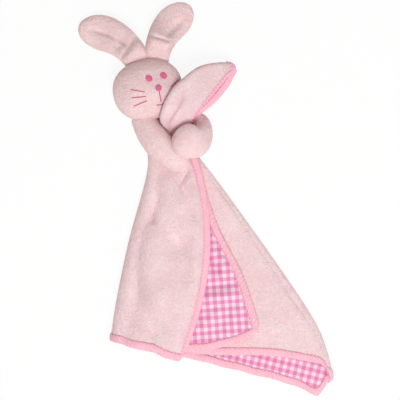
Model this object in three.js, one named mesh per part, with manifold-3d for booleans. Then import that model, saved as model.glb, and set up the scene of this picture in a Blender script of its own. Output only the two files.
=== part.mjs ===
// Plush rabbit comforter: a stuffed rabbit head with two floppy ears and two arms, sewn to a square blanket
// of two cloths (velour outside, gingham lining inside, bias binding all round). It lies on its back on a
// table and hugs one corner of its own blanket against its cheek. Millimetres, +Z up, +Y towards the ears.
// The origin is on the table, under the middle of the folded blanket.
import * as THREE from "three";
import { mergeVertices } from "three/addons/utils/BufferGeometryUtils.js";
import Module from "manifold-3d";

// Cloth and sewing
const VELOUR = 1.4; // pile fabric of the toy and of the blanket's outside
const LINING = 0.5; // cotton lining
const TAPE = 0.5; // cloth of the bias binding
const TAPE_WIDTH = 6.5; // binding, as it shows on each face
const GAP = 0.3; // clearance between pieces that touch

// Head
const HEAD_AT = new THREE.Vector2(-51, 96.8);
const HEAD_HALF_WIDTH = 31;
const HEAD_HALF_HEIGHT = 26.5;
const HEAD_HALF_DEPTH = 22.5;
const HEAD_LEAN = THREE.MathUtils.degToRad(12); // to the rabbit's right, as it lies
const HEAD_TILT = THREE.MathUtils.degToRad(13); // how far the neck lets the head tilt from there
const HEAD_SQUARENESS = 2.25; // exponent of the outline: 2 is an ellipse
const NECK_AT = new THREE.Vector3(-50.5, 69.5, 15);
const NECK_RADIUS = 12;
const NECK_HALF_DEPTH = 11;
const NECK_SIDES = 18;
const NECK_GATHER = [
  { y: 62, x: -46, z: 12, halfWidth: NECK_RADIUS, halfDepth: 9.5 },
  { y: 56, x: -41, z: 8.5, halfWidth: NECK_RADIUS, halfDepth: 7 },
  { y: 51, x: -39.5, z: 7.6, halfWidth: 10.5, halfDepth: 6 },
]; // bunched cloth below the neck
const HEAD_SIDES = 28;

// Face, on the front panel: across and up from the head's middle
const FACE_MIDDLE = 0.31 * HEAD_HALF_WIDTH; // the face looks a little towards the hugged corner
const EYE_SPACING = 12.8;
const EYE_HEIGHT = 8.2;
const EYE_HALF = new THREE.Vector2(2.7, 3.1);
const NOSE_HEIGHT = -1.8;
const NOSE_HALF = new THREE.Vector2(2.5, 3.1);
const STITCH_RISE = 0.9; // how far satin stitch stands above the cloth
const THREAD_RADIUS = 0.45;
const MOUTH_DROP = 9.2;
const MOUTH_HALF = 3.6;
const LEFT_WHISKERS = { side: -1, name: "left", from: 12, length: 12.6, rise: 6 }; // from the nose's line
const RIGHT_WHISKERS = { side: 1, name: "right", from: 10.2, length: 10.8, rise: 16 };
const WHISKER_SPACING = 3.7;
const WHISKER_FAN = THREE.MathUtils.degToRad(16);

// Ears
const EAR_LOFT = 2.4; // swell of each face
const EAR_ROOT_LOFT = 0.6;
const EAR_ROOT_HEIGHT = 20;
const EAR_TIP_HEIGHT = 4.8;
const LEFT_EAR = { at: [-59.7, 122.2], length: 64, heading: 121.6, bend: 64, root: 7.8, half: 16.2 };
const RIGHT_EAR = { at: [-43.5, 122.5], length: 59.5, heading: 84.8, bend: -60, root: 8.4, half: 15.4 };

// Arms: stuffed tubes, flattened where they lie on each other
const ARM_HALF_DEPTH = 10.5;
const LEFT_ARM_HALF_WIDTH = 13.2;
const RIGHT_ARM_HALF_WIDTH = 15.6;
const UPPER_ARM_HALF_WIDTH = 10;
const UPPER_ARM_HALF_DEPTH = 8;
const SHOULDER_OPENING = 0.1; // share of an arm's length where its cover stays open to the body
const ELBOW_OPENING = 0.03;
const ARM_CLEARANCE = 1.2; // between the two arms

// Blanket: two plies on either side of one middle surface, and the folds of its layers at the neck
// and at the hem
const OUTER_FROM = GAP / 2;
const OUTER_TO = OUTER_FROM + VELOUR;
const LINING_FROM = -GAP / 2;
const LINING_TO = LINING_FROM - LINING;
const TAPE_OVER = OUTER_TO + GAP;
const TAPE_UNDER = LINING_TO - GAP;
const BACK_FOLD = [2.3, 2.9]; // radius of the fold on the right
const FLAP_FOLD = [2.6, 3.4]; // hidden fold between the two inner layers
const FRONT_FOLD = [6.4, 8.4]; // big fold on the left
const CORNER_FOLD = 2; // fold of the hugged corner
const FOLD_STEPS = 4;
const NECK_TO_HEM = [0, 0.08, 0.17, 0.26, 0.35, 0.45, 0.55, 0.65, 0.75, 0.86, 0.966, 1];
const BASE_TO_TIP = [0, 0.13, 0.26, 0.39, 0.52, 0.65, 0.78, 0.92, 1];

// Where the edges and folds of the blanket run on the table, from the neck to the hem
const FRONT_EDGE = [[-14.1, 50.5], [-3.5, 18.5], [2.6, -31.7], [-2.6, -82.7], [-19.4, -138.2]];
const LEFT_FOLD = [[-51.5, 50.5], [-50.8, 23.8], [-66.9, -36.6], [-77.6, -88], [-83.1, -123.6]];
const RIGHT_FOLD = [[-7.4, 50.5], [12, 12.5], [62, -57.9], [93.6, -108], [110.3, -156.6]];
const INNER_FOLD = [[-44, 50.5], [-42, 17.6], [-53, -35.2], [-62, -88], [-66.5, -133.3]];
const FLAP_EDGE = [[-12.3, 50.5], [-4.2, 17.6], [10, -24.6], [31.5, -66.9], [48, -116]];

// Soft folds of the front layer: one broad swell, and ridges (+) and valleys (-) along lines on the table
const FRONT_SWELL = 5.6;
const FRONT_FOLDS = [
  { from: [-60, -20], to: [-44, -90], width: 13, height: 3.4 },
  { from: [-40, -86], to: [-26, -118], width: 11, height: 3 },
  { from: [-44, -4], to: [-24, -40], width: 10, height: -4.4 },
  { from: [-24, -40], to: [-16, -66], width: 10, height: -3.4 },
  { from: [-68, -70], to: [-46, -116], width: 10, height: -4 },
  { from: [-53, 22], to: [-49, -14], width: 6, height: -3.6 },
];

// The hugged corner, from under the right paw over the cheek to its tip
const CHEEK_TOP = 2 * HEAD_HALF_DEPTH; // the corner climbs over the cheek
const CORNER_FRONT = [
  [-13.2, 53, 16.2],
  [-15, 65.1, 25],
  [-5.3, 77.4, 26],
  [11.4, 94.2, 21.5],
  [26.4, 114.4, 16],
];
const CORNER_BACK = [
  [-11.4, 53, 11.2],
  [-12.3, 64.2, 20],
  [-1.8, 76.6, 18.6],
  [14.1, 92.4, 13.5],
  [28.2, 113.5, 8],
];
const CORNER_LEFT = [
  [-26, 53, 13.8],
  [-33.4, 66, 29],
  [-36, 81.3, CHEEK_TOP + 1.5],
  [-32.4, 89, CHEEK_TOP + 3.2],
  [-25.5, 97.6, CHEEK_TOP + 0.8],
  [-16.8, 107.9, 37.5],
  [-0.6, 116.5, 26],
  [20.5, 119.2, 13.5],
];

// Arms, along their middles
const LEFT_ARM = [
  [-65, 69, 22],
  [-58, 62, 25.5],
  [-48, 52.4, 29],
  [-36.5, 42.6, 29.3],
  [-24.6, 33.8, 29],
  [-14.5, 27.8, 28.5],
];
const RIGHT_ARM = [[6, 54, 33.5], [-3, 52.1, 37], [-12.5, 52.5, 38.5], [-22, 55, 38.5], [-30.5, 59, 38.5]];
const UPPER_ARM = [
  [-44, 68, 9],
  [-34, 69.5, 8.6],
  [-18, 70.2, 8.4],
  [-5, 67, 10],
  [3, 61, 16.5],
  [5.5, 54.5, 26],
];

const VELOUR_PINK = new THREE.MeshStandardMaterial({ color: 0xf0d3d1, roughness: 0.95, metalness: 0 });
const GINGHAM_PINK = new THREE.MeshStandardMaterial({ color: 0xf3a9c6, roughness: 0.85, metalness: 0 });
const BINDING_PINK = new THREE.MeshStandardMaterial({ color: 0xf5b0c4, roughness: 0.8, metalness: 0 });
const THREAD_PINK = new THREE.MeshStandardMaterial({ color: 0xe23c82, roughness: 0.6, metalness: 0 });
const THREAD_DUSKY = new THREE.MeshStandardMaterial({ color: 0xb85069, roughness: 0.6, metalness: 0 });
const WADDING_WHITE = new THREE.MeshStandardMaterial({ color: 0xf4f2ee, roughness: 1, metalness: 0 });

const wasm = await Module();
wasm.setup();

const UP = new THREE.Vector3(0, 0, 1);
const { lerp, smoothstep, degToRad } = THREE.MathUtils;

// Closed solid from points and triangles, with shared points joined and its faces turned outwards
function solid(points, triangles) {
  const raw = new THREE.BufferGeometry();
  raw.setAttribute("position", new THREE.Float32BufferAttribute(points.flatMap((p) => [p.x, p.y, p.z]), 3));
  raw.setIndex(triangles.flat());
  const geometry = mergeVertices(raw, 1e-5);
  const index = geometry.getIndex().array;
  const kept = [];
  for (let i = 0; i < index.length; i += 3) {
    const [a, b, c] = index.slice(i, i + 3);
    if (a !== b && b !== c && c !== a) kept.push(a, b, c);
  }
  geometry.setIndex(signedVolume(geometry, kept) < 0 ? kept.reverse() : kept);
  geometry.computeVertexNormals();
  return geometry;
}

function signedVolume(geometry, index) {
  const at = (i) => new THREE.Vector3().fromBufferAttribute(geometry.getAttribute("position"), i);
  let volume = 0;
  for (let i = 0; i < index.length; i += 3) {
    volume += at(index[i]).dot(at(index[i + 1]).cross(at(index[i + 2]))) / 6;
  }
  return volume;
}

// Bands of triangles between neighbouring rings; each four-sided patch is split along its shorter diagonal,
// so that cloths lying on each other are creased alike
function bands(points, rings) {
  const triangles = [];
  const size = rings[0].length;
  const starts = rings.map((ring) => points.push(...ring) - size);
  for (let j = 0; j < rings.length - 1; j += 1) {
    for (let i = 0; i < size; i += 1) {
      const a = starts[j] + i;
      const b = starts[j] + ((i + 1) % size);
      const c = starts[j + 1] + ((i + 1) % size);
      const d = starts[j + 1] + i;
      const straight = points[a].distanceTo(points[c]) < points[b].distanceTo(points[d]);
      if (straight) triangles.push([a, b, c], [a, c, d]);
      else triangles.push([a, b, d], [b, c, d]);
    }
  }
  return { triangles, first: starts[0], last: starts[starts.length - 1], size };
}

function fan(points, start, size, flip) {
  const centre = new THREE.Vector3();
  for (let i = 0; i < size; i += 1) centre.addScaledVector(points[start + i], 1 / size);
  const hub = points.push(centre) - 1;
  return Array.from({ length: size }, (_, i) => {
    const k = (i + 1) % size;
    return flip ? [hub, start + k, start + i] : [hub, start + i, start + k];
  });
}

// Solid through a row of rings, closed at both ends
function loft(rings, cap = fan) {
  const points = [];
  const side = bands(points, rings);
  const ends = [...cap(points, side.first, side.size, true), ...cap(points, side.last, side.size, false)];
  return solid(points, [...side.triangles, ...ends]);
}

// Bag of cloth: outer and inner rings that start at the open mouth and run to the closed end
function bag(outer, inner) {
  return loft([...[...inner].reverse(), ...outer]);
}

function toManifold(geometry) {
  const bare = new THREE.BufferGeometry();
  bare.setAttribute("position", geometry.getAttribute("position"));
  bare.setIndex(geometry.getIndex());
  const merged = mergeVertices(bare, 1e-5);
  return new wasm.Manifold(
    new wasm.Mesh({
      numProp: 3,
      vertProperties: new Float32Array(merged.getAttribute("position").array),
      triVerts: new Uint32Array(merged.getIndex().array),
    })
  );
}

// What is left of a piece when others are pressed into it
function cut(geometry, ...others) {
  let left = toManifold(geometry);
  for (const other of others) left = left.subtract(toManifold(other));
  const mesh = left.getMesh();
  const result = new THREE.BufferGeometry();
  result.setAttribute("position", new THREE.Float32BufferAttribute(mesh.vertProperties, 3));
  result.setIndex(Array.from(mesh.triVerts));
  result.computeVertexNormals();
  return result;
}

function piece(name, geometry, material, parent) {
  const mesh = new THREE.Mesh(geometry, material);
  mesh.name = name;
  parent.add(mesh);
  return mesh;
}

function spline(points) {
  return new THREE.CatmullRomCurve3(points.map(([x, y, z]) => new THREE.Vector3(x, y, z ?? 0)));
}

// Folded cloth: each layer runs from one rail to the next and turns over at the inner rails in a half round
// A rail has at(v), its place from neck (0) to hem (1), radius(v) of its fold, lift(v), the way its layers
// are stacked, and turn: -1 when the cloth turns down there, +1 when it turns up.
function foldedCloth(rails, layers, rows) {
  const points = [];
  const alongs = [];
  for (const v of rows) {
    const row = [];
    const along = [];
    const runs = layers.map((layer, k) => layerRun(rails[k], rails[k + 1], v));
    layers.forEach((layer, k) => {
      layerPoints(layer, runs[k], v, row, along);
      if (k < layers.length - 1) foldPoints(rails[k + 1], runs[k], runs[k + 1], v, row, along);
    });
    points.push(row);
    alongs.push(along);
  }
  const normals = points.map((row, j) =>
    row.map((point, i) => {
      const below = points[Math.min(j + 1, points.length - 1)][i];
      const above = points[Math.max(j - 1, 0)][i];
      return alongs[j][i].clone().cross(below.clone().sub(above)).normalize();
    })
  );
  return { points, normals };
}

function layerRun(from, to, v) {
  const start = from.at(v);
  const end = to.at(v);
  const across = end.clone().sub(start);
  const leave = across.clone().projectOnPlane(from.lift(v)).normalize();
  const arrive = across.clone().projectOnPlane(to.lift(v)).normalize();
  start.addScaledVector(leave, from.radius(v)).addScaledVector(from.lift(v), from.turn * from.radius(v));
  end.addScaledVector(arrive, -to.radius(v)).addScaledVector(to.lift(v), -to.turn * to.radius(v));
  return { start, end, leave, arrive };
}

function layerPoints(layer, run, v, row, along) {
  const length = run.start.distanceTo(run.end);
  const shares = layer.shares(length);
  const flat = shares.map((s) => {
    const point = run.start.clone().lerp(run.end, s);
    point.y -= layer.hem(s) * smoothstep(v, 0.45, 1);
    point.z += layer.drape(s, v, point);
    return point;
  });
  flat.forEach((point, i) => {
    const next = flat[Math.min(i + 1, flat.length - 1)];
    const last = flat[Math.max(i - 1, 0)];
    row.push(point);
    along.push(next.clone().sub(last).normalize());
  });
}

function foldPoints(rail, before, after, v, row, along) {
  const outward = before.arrive.clone().sub(after.leave).normalize();
  const lift = rail.lift(v).multiplyScalar(-rail.turn);
  const radius = rail.radius(v);
  for (let i = 1; i < FOLD_STEPS; i += 1) {
    const angle = (Math.PI * i) / FOLD_STEPS;
    const point = before.end.clone().lerp(after.start, i / FOLD_STEPS);
    point.addScaledVector(lift, radius * (Math.cos(angle) - 1 + (2 * i) / FOLD_STEPS));
    row.push(point.addScaledVector(outward, radius * Math.sin(angle)));
    along.push(outward.clone().multiplyScalar(Math.cos(angle)).addScaledVector(lift, -Math.sin(angle)));
  }
}

// Ply of a cloth: everything between two offsets from its middle surface
function ply(cloth, low, high) {
  const moved = (j, i, size) => cloth.points[j][i].clone().addScaledVector(cloth.normals[j][i], size);
  const offset = (j, size) => cloth.points[j].map((_, i) => moved(j, i, size));
  return loft(
    cloth.points.map((row, j) => [...offset(j, high), ...offset(j, low).reverse()]),
    ladder
  );
}

// End of a flat section whose points run out along one side and back along the other
function ladder(points, start, size, flip) {
  const triangles = [];
  for (let i = 0; i < size / 2 - 1; i += 1) {
    const [a, b] = [start + i, start + i + 1];
    const [c, d] = [start + size - 2 - i, start + size - 1 - i];
    if (flip) triangles.push([a, c, b], [a, d, c]);
    else triangles.push([a, b, c], [a, c, d]);
  }
  return triangles;
}

// Bias binding: a folded tape that grips the edge down one side, along the hem and up the other side
function binding(cloth) {
  const last = cloth.points.length - 1;
  const end = cloth.points[0].length - 1;
  const path = [];
  for (let j = 0; j < last; j += 1) path.push([j, 0, Math.min(j, last - 1), 1]);
  path.push([last, 0, last - 1, 1]);
  for (let i = 1; i < end; i += 1) path.push([last, i, last - 1, Math.min(Math.max(i, 1), end - 1)]);
  path.push([last, end, last - 1, end - 1]);
  for (let j = last - 1; j >= 0; j -= 1) path.push([j, end, Math.min(j, last - 1), end - 1]);
  return loft(path.map(([j, i, jn, im]) => tapeSection(cloth, j, i, jn, im)), ladder);
}

function tapeSection(cloth, j, i, jn, im) {
  const edge = cloth.points[j][i];
  const seam = cloth.points[jn][im];
  const out = edge.clone().sub(seam).normalize();
  const atEdge = (beyond, offset) =>
    edge.clone().addScaledVector(out, beyond).addScaledVector(cloth.normals[j][i], offset);
  const atSeam = (offset) => seam.clone().addScaledVector(cloth.normals[jn][im], offset);
  return [
    atSeam(TAPE_OVER + TAPE),
    atEdge(GAP + TAPE, TAPE_OVER + TAPE),
    atEdge(GAP + TAPE, TAPE_UNDER - TAPE),
    atSeam(TAPE_UNDER - TAPE),
    atSeam(TAPE_UNDER),
    atEdge(GAP, TAPE_UNDER),
    atEdge(GAP, TAPE_OVER),
    atSeam(TAPE_OVER),
  ];
}

// Rounds the two corners of a cloth's hem
function roundCorners(cloth) {
  const last = cloth.points.length - 1;
  const end = cloth.points[0].length - 1;
  cloth.points[last][0].lerp(cloth.points[last - 1][1], 0.26);
  cloth.points[last][end].lerp(cloth.points[last - 1][end - 1], 0.26);
  return cloth;
}

function edgeRail(curve, height) {
  const at = (v) => curve.getPointAt(v).setZ(height(v));
  return { at, radius: () => 0, lift: () => UP.clone(), turn: 0 };
}

function foldRail(curve, height, size, turn) {
  const radius = (v) => lerp(size[0], size[1], v);
  const at = (v) => curve.getPointAt(v).setZ(height(v) + radius(v));
  return { at, radius, lift: () => UP.clone(), turn };
}

// Shares of a layer's width at which its cloth is drawn: one step in from each free edge lies the seam
// of the binding
const TO_SEAM = [0, 0.17, 0.33, 0.5, 0.67, 0.83, 1];
const TO_EDGE = (length) => [...TO_SEAM.map((s) => s * (1 - TAPE_WIDTH / length)), 1];
const FROM_EDGE = (length) => TO_EDGE(length).reverse().map((s) => 1 - s);
const TO_CORNER = () => [0, 0.14, 0.28, 0.42, 0.56, 0.7, 0.82, 0.9, 0.955, 0.985, 1];
const FROM_CORNER = () => [0, 0.02, 0.05, 0.1, 0.2, 0.34, 0.48, 0.62, 0.76, 0.9, 1];

function mainCloth() {
  const table = (v) => OUTER_TO + (GAP + TAPE + 0.05) * smoothstep(v, 0.6, 1);
  const middle = (v) => table(v) + 2 * lerp(...BACK_FOLD, v);
  const flap = (v) => middle(v) + 2 * lerp(...FLAP_FOLD, v);
  const front = (v) => table(v) + 2 * lerp(...FRONT_FOLD, v);
  const rails = [
    edgeRail(spline(FRONT_EDGE), front),
    foldRail(spline(LEFT_FOLD), table, FRONT_FOLD, -1),
    foldRail(spline(RIGHT_FOLD), table, BACK_FOLD, 1),
    foldRail(spline(INNER_FOLD), middle, FLAP_FOLD, 1),
    edgeRail(spline(FLAP_EDGE), flap),
  ];
  const flatLie = () => 0;
  const layers = [
    { shares: FROM_EDGE, hem: (s) => 3 * Math.sin(Math.PI * s), drape: frontDrape },
    { shares: TO_CORNER, hem: backHem, drape: flatLie },
    { shares: FROM_CORNER, hem: middleHem, drape: flatLie },
    { shares: TO_EDGE, hem: (s) => 22 * s * (1 - s), drape: flatLie },
  ];
  return roundCorners(foldedCloth(rails, layers, NECK_TO_HEM));
}

// The back layer's hem drops towards its corner on the right and rounds off there
function backHem(s) {
  return 20 * s ** 1.3 * (1 - smoothstep(s, 0.93, 1));
}

// The middle layer's hem is drawn up, most of all next to the fold on the right
function middleHem(s) {
  const rise = 10.5 + 5.5 * Math.exp(-(((s - 0.08) / 0.1) ** 2));
  return -rise * smoothstep(s, 0, 0.08) * (1 - smoothstep(s, 0.5, 1));
}

// Height of the front layer's soft folds: each ridge or valley is a bell across its own line
function frontDrape(s, v, point) {
  const across = smoothstep(s, 0, 0.22) * (1 - smoothstep(s, 0.7, 1));
  const swell = FRONT_SWELL * smoothstep(v, 0.06, 0.34) * across;
  const inside = smoothstep(s, 0.02, 0.24) * (1 - smoothstep(s, 0.84, 1)) * smoothstep(v, 0.02, 0.12);
  const at = new THREE.Vector3(point.x, point.y, 0);
  const folds = FRONT_FOLDS.reduce((sum, { from, to, width, height }) => {
    const line = new THREE.Line3(new THREE.Vector3(...from, 0), new THREE.Vector3(...to, 0));
    const gap = line.closestPointToPoint(at, true, new THREE.Vector3()).distanceTo(at);
    return sum + height * Math.exp(-((gap / width) ** 2));
  }, 0);
  return swell + folds * inside * (1 - 0.7 * smoothstep(v, 0.9, 1));
}

function cornerCloth() {
  const left = spline(CORNER_LEFT);
  const front = spline(CORNER_FRONT);
  const back = spline(CORNER_BACK);
  const lift = (v) => {
    const across = front.getPointAt(v).add(back.getPointAt(v)).multiplyScalar(0.5).sub(left.getPointAt(v));
    return across.cross(left.getTangentAt(v)).normalize();
  };
  const open = (curve) => ({ at: (v) => curve.getPointAt(v), radius: () => 0, lift, turn: 0 });
  const fold = { at: (v) => left.getPointAt(v), radius: () => CORNER_FOLD, lift, turn: 1 };
  const plain = { hem: () => 0, drape: () => 0 };
  const layers = [
    { shares: (length) => [0, Math.min(0.45, TAPE_WIDTH / length), 0.6, 0.73, 0.87, 1], ...plain },
    { shares: (length) => [0, 0.13, 0.27, 0.4, Math.max(0.55, 1 - TAPE_WIDTH / length), 1], ...plain },
  ];
  return roundCorners(foldedCloth([open(back), fold, open(front)], layers, BASE_TO_TIP));
}

function addCloth(prefix, cloth, parent) {
  piece(`${prefix}_outer`, ply(cloth, OUTER_FROM, OUTER_TO), VELOUR_PINK, parent);
  piece(`${prefix}_lining`, ply(cloth, LINING_TO, LINING_FROM), GINGHAM_PINK, parent);
  piece(`${prefix}_binding`, binding(cloth), BINDING_PINK, parent);
}

// Bunched blanket that carries the head: a ball at the neck that runs into the folded layers
function neckGather(extra) {
  const ring = ({ y, x, z, halfWidth, halfDepth }) =>
    Array.from({ length: NECK_SIDES }, (_, i) => {
      const angle = (2 * Math.PI * i) / NECK_SIDES;
      const across = (halfWidth + extra) * Math.cos(angle);
      return new THREE.Vector3(x + across, y, z + (halfDepth + extra) * Math.sin(angle));
    });
  const ball = [80, 60, 40, 20, 0].map((angle) => {
    const share = Math.cos(degToRad(angle));
    const y = NECK_AT.y + (NECK_RADIUS + extra) * Math.sin(degToRad(angle));
    const halves = { halfWidth: NECK_RADIUS * share, halfDepth: NECK_HALF_DEPTH * share };
    return { y, x: NECK_AT.x, z: NECK_AT.z, ...halves };
  });
  return loft([...ball, ...NECK_GATHER].map(ring));
}

// Front of the head above its seam, across (u) and up (w) from its middle
function headRise(u, w) {
  const across = (Math.abs(u) / HEAD_HALF_WIDTH) ** HEAD_SQUARENESS;
  const reach = (across + (Math.abs(w) / HEAD_HALF_HEIGHT) ** HEAD_SQUARENESS) ** (1 / HEAD_SQUARENESS);
  return HEAD_HALF_DEPTH * Math.sqrt(Math.max(0, 1 - reach ** 2));
}

function headRing(level, inset) {
  const share = Math.cos(level);
  const rise = (HEAD_HALF_DEPTH - inset) * Math.sin(level);
  return Array.from({ length: HEAD_SIDES }, (_, i) => {
    const angle = (2 * Math.PI * i) / HEAD_SIDES;
    const reach =
      Math.abs(Math.cos(angle)) ** HEAD_SQUARENESS + Math.abs(Math.sin(angle)) ** HEAD_SQUARENESS;
    const radius = share * reach ** (-1 / HEAD_SQUARENESS);
    const across = (HEAD_HALF_WIDTH - inset) * radius * Math.cos(angle);
    return new THREE.Vector3(across, (HEAD_HALF_HEIGHT - inset) * radius * Math.sin(angle), rise);
  });
}

const HEAD_LEVELS = [0, 17, 34, 51, 67, 81].map(degToRad);

function headPanel(side) {
  const outer = HEAD_LEVELS.map((level) => headRing(level, 0));
  const inner = HEAD_LEVELS.map((level) => headRing(level, VELOUR));
  const panel = bag(outer, inner);
  panel.translate(0, 0, GAP / 2);
  if (side < 0) {
    const turned = Array.from(panel.getIndex().array).reverse();
    panel.rotateX(Math.PI).scale(1, -1, 1).setIndex(turned);
  }
  return panel;
}

function headSolid(extra) {
  const levels = [...HEAD_LEVELS.slice(1).map((level) => -level).reverse(), ...HEAD_LEVELS];
  return loft(levels.map((level) => headRing(level, -extra)));
}

// The same head where it lies, and as far as it tilts, as a tool that clears the way for it
function headPlaced(extra, tilt) {
  const pose = new THREE.Matrix4().makeRotationZ(HEAD_LEAN);
  pose.setPosition(HEAD_AT.x, HEAD_AT.y, HEAD_HALF_DEPTH);
  const pivot = new THREE.Matrix4().makeTranslation(NECK_AT.x, NECK_AT.y, 0);
  pivot.multiply(new THREE.Matrix4().makeRotationZ(tilt));
  pivot.multiply(new THREE.Matrix4().makeTranslation(-NECK_AT.x, -NECK_AT.y, 0));
  return headSolid(extra).applyMatrix4(pivot.multiply(pose));
}

function facePoint(u, w, lift) {
  const step = 0.05;
  const rise = headRise(u, w);
  const slopeU = (headRise(u + step, w) - rise) / step;
  const slopeW = (headRise(u, w + step) - rise) / step;
  const normal = new THREE.Vector3(-slopeU, -slopeW, 1).normalize();
  return new THREE.Vector3(u, w, rise + GAP / 2).addScaledVector(normal, lift);
}

// Satin stitch: a raised oval on the face
function satinOval(u, w, half) {
  const ring = (share, lift) =>
    Array.from({ length: 14 }, (_, i) => {
      const angle = (2 * Math.PI * i) / 14;
      return facePoint(u + half.x * share * Math.cos(angle), w + half.y * share * Math.sin(angle), lift);
    });
  const top = GAP + STITCH_RISE;
  const foot = [ring(0.5, GAP), ring(1, GAP), ring(1, GAP + STITCH_RISE / 2)];
  return loft([...foot, ring(0.8, top - 0.1), ring(0.4, top)]);
}

// Stem stitch: a round thread on the face along a line of (u, w) stations
function stemStitch(stations) {
  const curve = spline(stations);
  const lift = GAP + THREAD_RADIUS;
  const rings = [0, 0.33, 0.67, 1].map((t) => {
    const at = curve.getPoint(t);
    const ahead = curve.getTangent(t);
    const centre = facePoint(at.x, at.y, lift);
    const normal = facePoint(at.x, at.y, lift + 1).sub(centre);
    const side = new THREE.Vector3(-ahead.y, ahead.x, 0).normalize();
    side.addScaledVector(normal, -side.dot(normal)).normalize();
    return Array.from({ length: 6 }, (_, i) => {
      const angle = (Math.PI * i) / 3;
      const point = centre.clone().addScaledVector(side, THREAD_RADIUS * Math.cos(angle));
      return point.addScaledVector(normal, THREAD_RADIUS * Math.sin(angle));
    });
  });
  return loft(rings);
}

function addFace(parent) {
  const half = EYE_SPACING / 2;
  piece("eye_left", satinOval(FACE_MIDDLE - half, EYE_HEIGHT, EYE_HALF), THREAD_PINK, parent);
  piece("eye_right", satinOval(FACE_MIDDLE + half, EYE_HEIGHT, EYE_HALF), THREAD_PINK, parent);
  piece("nose", satinOval(FACE_MIDDLE, NOSE_HEIGHT, NOSE_HALF), THREAD_PINK, parent);
  const lipTop = NOSE_HEIGHT - NOSE_HALF.y - 1.2;
  const lipEnd = NOSE_HEIGHT - NOSE_HALF.y - MOUTH_DROP;
  piece("mouth_stem", stemStitch([[FACE_MIDDLE, lipTop], [FACE_MIDDLE, lipEnd]]), THREAD_DUSKY, parent);
  const smile = [
    [FACE_MIDDLE - MOUTH_HALF, lipEnd - 1.6],
    [FACE_MIDDLE, lipEnd - 1.9],
    [FACE_MIDDLE + MOUTH_HALF, lipEnd - 1.6],
  ];
  piece("mouth_smile", stemStitch(smile), THREAD_DUSKY, parent);
  for (const { side, name, from, length, rise } of [LEFT_WHISKERS, RIGHT_WHISKERS]) {
    for (const row of [1, 2, 3]) {
      const lift = NOSE_HEIGHT - 4.9 + (2 - row) * WHISKER_SPACING;
      const angle = degToRad(rise) + (2 - row) * WHISKER_FAN;
      const near = [FACE_MIDDLE + side * from, lift];
      const far = [near[0] + side * length * Math.cos(angle), lift + length * Math.sin(angle)];
      piece(`whisker_${name}_${row}`, stemStitch([near, far]), THREAD_DUSKY, parent);
    }
  }
}

function addHead(parent) {
  const head = new THREE.Group();
  head.name = "head";
  head.position.set(HEAD_AT.x, HEAD_AT.y, HEAD_HALF_DEPTH + GAP / 2);
  head.rotation.z = HEAD_LEAN;
  parent.add(head);
  const neck = neckGather(GAP + 0.1);
  head.updateMatrixWorld(true);
  neck.applyMatrix4(head.matrixWorld.clone().invert());
  piece("head_face_panel", cut(headPanel(1), neck), VELOUR_PINK, head);
  piece("head_back_panel", cut(headPanel(-1), neck), VELOUR_PINK, head);
  piece("head_filling", cut(headSolid(-VELOUR - GAP), neck), WADDING_WHITE, head);
  addFace(head);
}

// Half width of an ear from its root (0) to its tip (1)
function earHalf(ear, s) {
  const body = lerp(ear.root, ear.half, smoothstep(s, -0.1, 0.7));
  const tip = Math.max(0, (s - 0.55) / 0.45);
  return body * Math.sqrt(Math.max(0, 1 - tip ** 2.4));
}

const EAR_STATIONS = [0, 0.12, 0.24, 0.36, 0.48, 0.6, 0.72, 0.83, 0.92, 0.975];
const EAR_ACROSS = [-1, -0.7, -0.35, 0, 0.35, 0.7, 1];

// Point of an ear's middle surface: the root looks along +Y, the ear bends sideways and droops to its tip
function earMiddle(ear, s, across) {
  const bend = degToRad(ear.bend);
  const turn = bend * s;
  const radius = ear.length / bend;
  const x = -radius * (1 - Math.cos(turn));
  const y = radius * Math.sin(turn);
  const droop = lerp(EAR_ROOT_HEIGHT, EAR_TIP_HEIGHT, smoothstep(s, 0, 1.05));
  const reach = across * earHalf(ear, s);
  return new THREE.Vector3(x + reach * Math.cos(turn), y + reach * Math.sin(turn), droop);
}

// Layer of an ear between two shares of its swell plus two plain offsets
function earLayer(ear, low, high) {
  const offset = ({ swell, plain }, s, across) => {
    const size = lerp(EAR_ROOT_LOFT, EAR_LOFT, smoothstep(s, 0, 0.4)) * (1 - smoothstep(s, 0.75, 1));
    return swell * size * (1 - across ** 2) + plain;
  };
  const rings = EAR_STATIONS.map((s) => {
    const lifted = (a, height) => earMiddle(ear, s, a).add(new THREE.Vector3(0, 0, height));
    const top = EAR_ACROSS.map((a) => lifted(a, offset(high, s, a)));
    const bottom = EAR_ACROSS.map((a) => lifted(a, offset(low, s, a)));
    return [...top, ...bottom.reverse()];
  });
  return loft(rings, ladder);
}

function addEar(name, ear, others, parent) {
  const group = new THREE.Group();
  group.name = name;
  group.position.set(ear.at[0], ear.at[1], 0);
  group.rotation.z = degToRad(ear.heading - 90);
  parent.add(group);
  group.updateMatrixWorld(true);
  const home = group.matrixWorld.clone().invert();
  const tools = others.map((other) => other.clone().applyMatrix4(home));
  const seam = GAP / 2;
  const wadding = 0.5;
  const seat = wadding + GAP;
  const front = earLayer(ear, { swell: 1, plain: seat }, { swell: 1, plain: seat + VELOUR });
  const back = earLayer(ear, { swell: -0.5, plain: -seat - VELOUR }, { swell: -0.5, plain: -seat });
  const fill = wadding - seam;
  const inside = earLayer(ear, { swell: -0.5, plain: -fill }, { swell: 1, plain: fill });
  piece(`${name}_front`, cut(front, ...tools), VELOUR_PINK, group);
  piece(`${name}_back`, cut(back, ...tools), VELOUR_PINK, group);
  piece(`${name}_wadding`, cut(inside, ...tools), WADDING_WHITE, group);
}

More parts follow.
